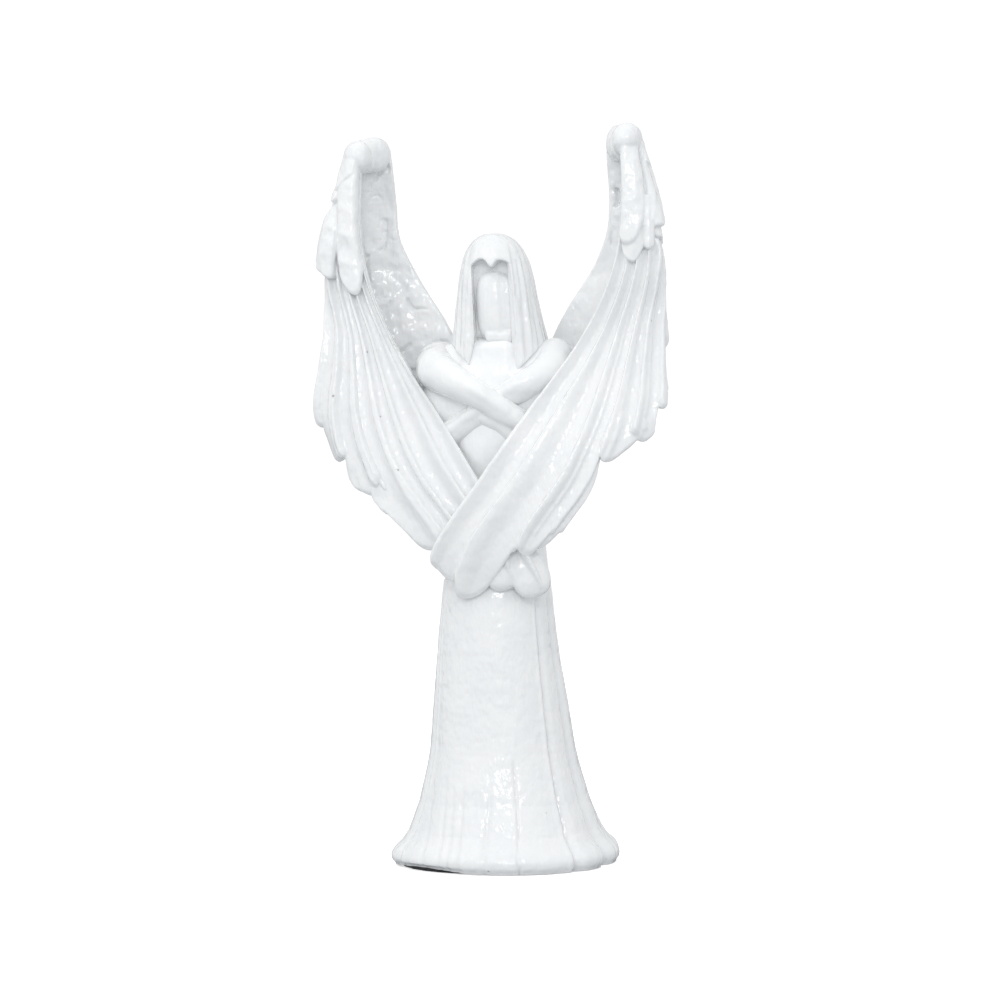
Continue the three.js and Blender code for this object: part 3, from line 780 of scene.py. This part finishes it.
def gown_surface(angle, z):
    """A point of the gown and how far in it lies: the plain front panel, creases and side pleats."""
    half = GOWN(z)
    x, y = superellipse(angle, half[..., 0], half[..., 1], 2.2)
    radius = np.hypot(x, y)
    turn = np.angle(np.exp(1j * (angle + math.pi / 2)))  # 0 at the front, positive to the left side
    edge = lerp(0.87, 0.97, np.clip(z / GOWN_TOP, 0, 1))
    away = np.abs(turn)
    width = (math.pi - edge) * 2 / PLEATS
    phase = (away - edge) / width
    fold = np.abs(np.mod(phase, 1.0) - 0.5) * 2  # 1 at the folds, 0 on a rib
    depth = lerp(2.9, 1.9, z / GOWN_TOP) * (1 + 0.35 * bell(phase - 1, 0.3))
    ribs = np.clip((fold - 0.35) / 0.65, 0, 1) ** 2.2 * depth - 0.5 * (1 - fold**2)
    ribs = np.where(away > edge, ribs * smooth(-0.02, 0.04, phase), 0)
    step = -0.45 * bell(away - edge + 0.035, 0.03)
    # soft flutes and one short sharp crease low on the panel
    low = smooth(46, 12, z)
    mm = turn * radius
    crease_at = lerp(11.5, 17.0, 1 - z / 46)
    crease = 0.85 * bell(mm - crease_at, 0.55) * smooth(47, 38, z)
    flutes = 0
    for at, deep, size in PANEL_FLUTES:
        flutes = flutes + deep * low * bell(mm - at, size)
    panel = np.where(away < edge, crease + flutes, 0)
    # the hem swells into a soft roll that bulges between the pleats
    lobes = np.where(away > edge, 1 - fold**1.5, 0.35)
    roll = lerp(0.2, 1.1, lobes) * bell(z - 5.5, 3.6) - 0.5 * bell(z - 10.5, 1.6) * lobes
    inset = ribs + step + panel - roll
    lifted = bell(turn + 0.61, 0.42)
    tuck = lerp(0.9, 2.4, lifted) * smooth(3.2, 0.4, z) ** 1.5 + 1.6 * smooth(115.5, 118, z)
    scale = 1 - (inset + tuck) / radius
    sway = 2.2 * smooth(100, 18, z)
    return x * scale + sway, y * scale


def gown():
    columns = 430
    angle = np.arange(columns) / columns * 2 * math.pi
    stretches = ((0.3, 8, 26), (8.4, 60, 110), (60.6, GOWN_TOP, 90))
    z = np.concatenate([np.linspace(*stretch) for stretch in stretches])
    a, h = np.meshgrid(angle, z)
    x, y = gown_surface(a, h)
    here = np.stack([x, y, h], -1)
    lift = 0.35 * noise(here, [14, 14, 30], 31) + 0.06 * noise(here, [9, 9, 1.9], 33)
    r = np.hypot(x, y)
    x, y = x * (1 + lift / r), y * (1 + lift / r)
    front_left = bell(a - math.radians(235), 0.42)
    height = h + 1.5 * front_left * smooth(5, 0.3, h)
    rings = np.stack([x, y, height], -1)
    inner = [rings[0] * np.array([f, f, 1]) for f in (0.97, 0.6, 0.2)]
    over = [rings[-1] * np.array([f, f, 1]) for f in (0.97, 0.6, 0.2)]
    rings = np.concatenate([np.array(inner[::-1]), rings, np.array(over)])
    rings[:3, :, 2] = rings[3, :, 2] + 0.2
    n = len(rings)
    verts = np.concatenate([rings.reshape(-1, 3), [[0, 0, 1.2]], [[0, 0, GOWN_TOP]]])
    i = np.arange(columns)
    j = (i + 1) % columns
    rows = np.arange(n - 1)[:, None] * columns
    quads = np.stack([rows + i, rows + j, rows + columns + j, rows + columns + i], -1).reshape(-1, 4)
    top = (n - 1) * columns
    low_fan = np.stack([j, i, np.full(columns, n * columns)], 1)
    top_fan = np.stack([top + i, top + j, np.full(columns, n * columns + 1)], 1)
    obj = mixed_object("gown_cast", verts, quads, np.concatenate([low_fan, top_fan]))
    return finish_piece(obj, ENAMEL, "enamel", "gown", ripple=0.07)


gown()

# ---------------------------------------------------------------- bodice, arms, head

BODICE = profile([
    [118, 20.6, 20.4], [138, 19, 18], [158, 17, 15.5], [176, 18.8, 14.5], [190, 22.5, 14.5],
    [200, 27, 13], [206, 28, 10.5], [211, 22, 8.5], [215, 11, 7],
])
RIGHT_ARM = [
    [-24, 0, 205], [-21.5, -10, 201], [-11, -17.5, 195.5], [1, -20, 189], [10, -17, 182.5], [17, -12, 177],
]
LEFT_ARM = [
    [25.5, 0, 205.5], [24.5, -6.5, 200], [18.5, -12, 195.5], [8.8, -14.5, 190], [-2, -15, 183],
    [-13.5, -13.5, 176], [-19, -12, 173],
]
RIGHT_ARM_ROLL = [[-4, -17, 184], [5.8, -17, 178.8], [12.9, -14.5, 171.8], [16, -12, 168]]
HEAD_TURN = math.radians(6)
HEAD_SHIFT = 2.5
HEAD_LEAN = 0.045
HEAD_BASE = 216


def ellipse_distance(x, y, half_x, half_y):
    """About how far a point is outside an ellipse."""
    k = np.sqrt((x / half_x) ** 2 + (y / half_y) ** 2)
    g = np.sqrt((x / half_x**2) ** 2 + (y / half_y**2) ** 2)
    return np.where(g > 1e-6, (k - 1) * k / np.maximum(g, 1e-6), -np.minimum(half_x, half_y))


def tube_distance(p, path, radius):
    """Distance outside a limb round a curve; radius follows the curve."""
    line = catmull(path)
    t = np.linspace(0, 1, 60)
    centre = line(t)
    size = radius(t)
    best = np.full(p.shape[:-1], 1e9)
    for a, b, ra, rb in zip(centre[:-1], centre[1:], size[:-1], size[1:]):
        ab = b - a
        h = np.clip(((p - a) @ ab) / (ab @ ab), 0, 1)
        d = np.linalg.norm(p - a - h[..., None] * ab, axis=-1) - lerp(ra, rb, h)
        best = np.minimum(best, d)
    return best


def rounded_box(q, half, radius):
    q = np.abs(q) - (np.array(half) - radius)
    return np.linalg.norm(np.maximum(q, 0), axis=-1) + np.minimum(q.max(-1), 0) - radius


def ball(p, centre, radii):
    """About how far p is outside an ellipsoid."""
    q = (p - np.array(centre)) / np.array(radii)
    return (np.linalg.norm(q, axis=-1) - 1) * min(radii)


def bodice():
    low, high, step = [-34, -24, 105], [34, 24, 217], 0.5
    p = grid_points(low, high, step)
    half = BODICE(np.maximum(p[..., 2], 118)) + 0.6 * smooth(150, 122, p[..., 2])[..., None]
    d = ellipse_distance(p[..., 0], p[..., 1], half[..., 0], half[..., 1])
    d = np.maximum(d, p[..., 2] - 215)
    for side in (-1, 1):
        # the wing root, and the side of the chest
        d = blend_min(d, rounded_box(p - np.array([side * 17, 9.5, 200]), [6, 7, 8], 2.5), 4.0)
        d = blend_min(d, ball(p, [side * 20.3, -3, 187], [10.3, 10.5, 19]), 5.0)
    d = blend_min(d, ball(p, [0, -7, 188], [15, 9.5, 16]), 6.0)
    d = blend_min(d, ball(p, [0.5, -5, 171], [17, 14, 20]), 4.0)
    for path in (RIGHT_ARM[:3], LEFT_ARM[:3]):
        d = blend_min(d, tube_distance(p, path, lambda t: 7.0 - 1.2 * t), 4.0)
    d = blend_min(d, rounded_box(p - np.array([1.5, -6, 204]), [10, 8.5, 9], 4), 5.0)
    d = np.maximum(d, 107 - p[..., 2])
    obj = field_object("bodice_cast", d, low, step)
    # the bodice takes the lighter copy of the enamel: painted light
    return finish_piece(obj, ENAMEL_PAINTED_LIGHT, "enamel", "bodice", ripple=0.10)


def arms():
    """Each arm: a full shoulder and sleeve, an elbow, and a forearm with a soft ridge along it."""
    for name, path, sizes, roll in (
        ("right_arm", RIGHT_ARM, [8.4, 8.3, 6.6, 5.6, 5.4, 5.0], RIGHT_ARM_ROLL),
        ("left_arm", LEFT_ARM, [8.0, 7.6, 6.5, 5.6, 5.4, 5.6, 5.6], None),
    ):
        points = np.array(path, float)
        low, high, step = points.min(0) - 12, points.max(0) + 11, 0.4
        p = grid_points(low, high, step)

        def radius(t, sizes=sizes):
            return spread(sizes, t)

        d = tube_distance(p, path, radius)
        if roll:
            d = blend_min(d, tube_distance(p, roll, lambda t: 3.3 + 0 * t), 1.0)
        ridge = points[2:-1] + np.array([0, -3.8, 1.2])
        d = blend_min(d, tube_distance(p, ridge, lambda t: 2.7 - 0.3 * t), 0.7)
        d = d + 0.3 * noise(p, [6, 6, 4.5], 17)
        obj = field_object(name + "_cast", d, low, step)
        finish_piece(obj, ENAMEL_SMOOTH, "enamel", name, ripple=0.06)


def head_place(p):
    """Points in the head's own frame: turned a little, and leaning as it rises."""
    x = p[..., 0] - HEAD_SHIFT + HEAD_LEAN * (p[..., 2] - HEAD_BASE)
    y, z = p[..., 1], p[..., 2]
    c, s = math.cos(HEAD_TURN), math.sin(HEAD_TURN)
    return np.stack([x * c + y * s, -x * s + y * c, z], -1)


FACE_AT = 0.5
FACE_MIDDLE = 226.4
FACE_HALF_WIDTH = 8.1
FACE_HALF_HEIGHT = 14.5


def face():
    low, high, step = [-8, -18, 209], [12, 12, 243], 0.3
    p = head_place(grid_points(low, high, step))
    x, y, z = p[..., 0] - FACE_AT, p[..., 1], p[..., 2] - FACE_MIDDLE
    # a blank oval, squarer than an egg: a plain left side, a facet falling away and a narrow far strip
    k = (np.abs(x / FACE_HALF_WIDTH) ** 3.1 + np.abs(z / FACE_HALF_HEIGHT) ** 3.1) ** (1 / 3.1)
    d = (k - 1) * 7.0
    bow = -13.6 + 3.2 * (np.abs(x) / FACE_HALF_WIDTH) ** 3 + 2.4 * (np.abs(z) / 14.2) ** 3
    bow = bow + 0.7 * smooth(1.0, 3.2, x) - 0.5 * smooth(4.6, 6.0, x)
    d = blend_max(d, (bow - y) * 0.85, 1.6)
    chin = rounded_box(np.stack([x - 0.9, y + 11.3, z + 12.4], -1), [5.6, 1.9, 2.4], 1.8)
    d = blend_min(d, chin, 1.0)
    d = np.maximum(d, y - 6)
    obj = field_object("face_oval", d, low, step)
    return finish_piece(obj, ENAMEL, "enamel", "face", ripple=0.04)


VEIL = profile([
    [200, 21.4, 17.2], [209, 20.2, 17.6], [216, 18.9, 17.9], [222, 17.6, 18.0], [230, 16.3, 18.1],
    [238, 15.1, 17.6], [246, 13.4, 16.0], [250.5, 11.6, 13.9], [254, 9.0, 11.0], [256.6, 5.5, 7.0],
])


def veil():
    low, high, step = [-22, -21, 196], [26, 21, 259], 0.32
    grid = grid_points(low, high, step)
    p = head_place(grid)
    x, y, z = p[..., 0], p[..., 1], p[..., 2]
    half = VEIL(np.minimum(z, 256.6))
    angle = np.arctan2(y, x)
    sharp = 0.30 * np.sin(angle * 19 + 0.05 * z) + 0.20 * np.sin(angle * 33 - 0.05 * z + 1.3)
    sharp = sharp + 0.22 * noise(np.stack([angle * 22, 0 * z, z * 0.12], -1), 1.0, 41)
    brow = smooth(0.80, 0.97, -y / np.maximum(np.hypot(x, y), 0.1)) * smooth(238, 246, z)
    d = ellipse_distance(x, y, half[..., 0], half[..., 1]) + sharp * smooth(255, 244, z) * (1 - 0.8 * brow)
    d = blend_max(d, z - 256.8, 1.6)
    # it is cut low in front, in two points, and rises over the shoulders
    front_low = 199.5 + 1.05 * np.clip(np.abs(x) - 8, 0, 13)
    hem = lerp(front_low, 204.0, smooth(-4, 5, y))
    d = blend_max(d, (hem - z) * 0.8, 1.0)
    # the opening is a recess: straight sides, and two small arches on top with a point between
    left_side = lerp(-11.0, -8.0, smooth(200, 215.5, z))
    # its far edge is bevelled, so that it shows as a bright strip beside the face
    wide = np.maximum(left_side - x, x - 6.6 - 2.5 * smooth(-11.8, -15.8, y))
    px = x - 0.1
    top = 244.6 + 1.0 * bell(px + 3.9, 2.6) + 0.5 * bell(px - 3.4, 2.2)
    top = top - 2.6 * bell(px - 0.2, 1.7) - 0.13 * np.clip(np.abs(px) - 4.6, 0, 9) ** 2
    hole = np.maximum(np.maximum(wide, z - top), y + lerp(9.0, 3.0, smooth(216, 210, z)))
    d = blend_max(d, -hole, 0.9)
    neck = BODICE(np.clip(grid[..., 2], 118, 215))
    body = ellipse_distance(grid[..., 0], grid[..., 1], neck[..., 0] - 0.4, neck[..., 1] - 0.4)
    body = np.maximum(body, z - 213)
    d = np.maximum(d, -body)
    obj = field_object("veil_cast", d, low, step)
    return finish_piece(obj, ENAMEL, "enamel", "veil", ripple=0.05)


bodice()
arms()
face()
veil()

# ---------------------------------------------------------------- pad and dowels

for node, material in (("felt_pad", FELT), ("waist_dowel", STEEL), ("neck_dowel", STEEL)):
    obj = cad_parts[node]
    obj.data.materials.clear()
    obj.data.materials.append(material)

# ---------------------------------------------------------------- floor, light, camera

floor_mesh = bpy.data.meshes.new("floor")
floor_mesh.from_pydata([(-3, -3, 0), (3, -3, 0), (3, 3, 0), (-3, 3, 0)], [], [(0, 1, 2, 3)])
floor = bpy.data.objects.new("floor", floor_mesh)
bpy.context.scene.collection.objects.link(floor)
paper = Nodes("paper")
paper.shader.inputs["Base Color"].default_value = (0.96, 0.96, 0.96, 1)
paper.shader.inputs["Roughness"].default_value = 0.95
paper.shader.inputs["Specular IOR Level"].default_value = 0.05
paper.shader.inputs["Emission Color"].default_value = (1, 1, 1, 1)
paper.shader.inputs["Emission Strength"].default_value = 0.55
# seen directly the paper is bright; what it throws back up at the figure is greyer
grey = paper.add("ShaderNodeBsdfDiffuse")
grey.inputs["Color"].default_value = (0.55, 0.56, 0.57, 1)
pick = paper.add("ShaderNodeMixShader")
seen = paper.add("ShaderNodeLightPath")
paper.link(seen.outputs["Is Camera Ray"], pick.inputs[0])
paper.link(grey.outputs[0], pick.inputs[1])
paper.link(paper.shader.outputs[0], pick.inputs[2])
paper.link(pick.outputs[0], paper.tree.nodes["Material Output"].inputs["Surface"])
floor_mesh.materials.append(paper.material)

world = bpy.data.worlds.new("studio")
bpy.context.scene.world = world
world.use_nodes = True
sky = world.node_tree.nodes["Background"]
sky.inputs["Color"].default_value = (0.975, 0.99, 1.0, 1)
sky.inputs["Strength"].default_value = 0.79
shown = world.node_tree.nodes.new("ShaderNodeBackground")
shown.inputs["Color"].default_value = (1, 1, 1, 1)
shown.inputs["Strength"].default_value = 1.05
switch = world.node_tree.nodes.new("ShaderNodeMixShader")
ray = world.node_tree.nodes.new("ShaderNodeLightPath")
world.node_tree.links.new(ray.outputs["Is Camera Ray"], switch.inputs[0])
world.node_tree.links.new(sky.outputs[0], switch.inputs[1])
world.node_tree.links.new(shown.outputs[0], switch.inputs[2])
world.node_tree.links.new(switch.outputs[0], world.node_tree.nodes["World Output"].inputs[0])

TARGET = Vector((0, 0, 0.15))


def softbox(name, azimuth, elevation, distance, width, height, power, gloss=True):
    """A rectangular light aimed at the figure; azimuth is to the right of straight in front, in degrees."""
    light = bpy.data.lights.new(name, "AREA")
    light.shape = "RECTANGLE"
    light.size, light.size_y = width, height
    light.energy = power
    obj = bpy.data.objects.new(name, light)
    bpy.context.scene.collection.objects.link(obj)
    a, e = math.radians(azimuth), math.radians(elevation)
    toward = Vector((math.sin(a) * math.cos(e), -math.cos(a) * math.cos(e), math.sin(e)))
    obj.location = TARGET + distance * toward
    obj.rotation_euler = (TARGET - obj.location).to_track_quat("-Z", "Y").to_euler()
    obj.visible_glossy = gloss


softbox("window_left", 8, 25, 1.6, 0.14, 0.18, 0.9)
softbox("window_right", 14.5, 25, 1.6, 0.13, 0.18, 0.9)
softbox("window_far", 3.5, 24, 1.6, 0.05, 0.24, 0.4)
softbox("strip", -28, 42, 1.5, 0.05, 0.9, 0.35)
softbox("key", -38, 50, 1.4, 0.9, 1.1, 4.3, gloss=False)
softbox("over", -10, 80, 1.3, 0.8, 0.8, 0.5, gloss=False)
softbox("front", 12, 14, 1.7, 1.1, 1.1, 3.2, gloss=False)
softbox("side", 75, 25, 1.6, 1.0, 1.0, 1.8, gloss=False)

AZIMUTH = math.radians(15)
ROLL = math.radians(-0.8)
DISTANCE = 1.1
SENSOR = 36
PICTURE_WIDTH = 0.410  # how much of the figure's plane the picture spans, in metres
CAMERA_SHIFT = 0.0016
CAMERA_HEIGHT = 0.148
look = Vector((-math.sin(AZIMUTH), math.cos(AZIMUTH), 0))
across = Vector((math.cos(AZIMUTH), math.sin(AZIMUTH), 0))
camera_data = bpy.data.cameras.new("camera")
camera_data.sensor_width = SENSOR
camera_data.lens = SENSOR * DISTANCE / PICTURE_WIDTH
camera_data.clip_start = 0.01
camera = bpy.data.objects.new("camera", camera_data)
bpy.context.scene.collection.objects.link(camera)
camera.location = across * CAMERA_SHIFT + Vector((0, 0, CAMERA_HEIGHT)) - look * DISTANCE
camera.rotation_euler = (look.to_track_quat("-Z", "Y") @ Quaternion((0, 0, 1), ROLL)).to_euler()
bpy.context.scene.camera = camera
bpy.context.scene.view_settings.view_transform = "Standard"
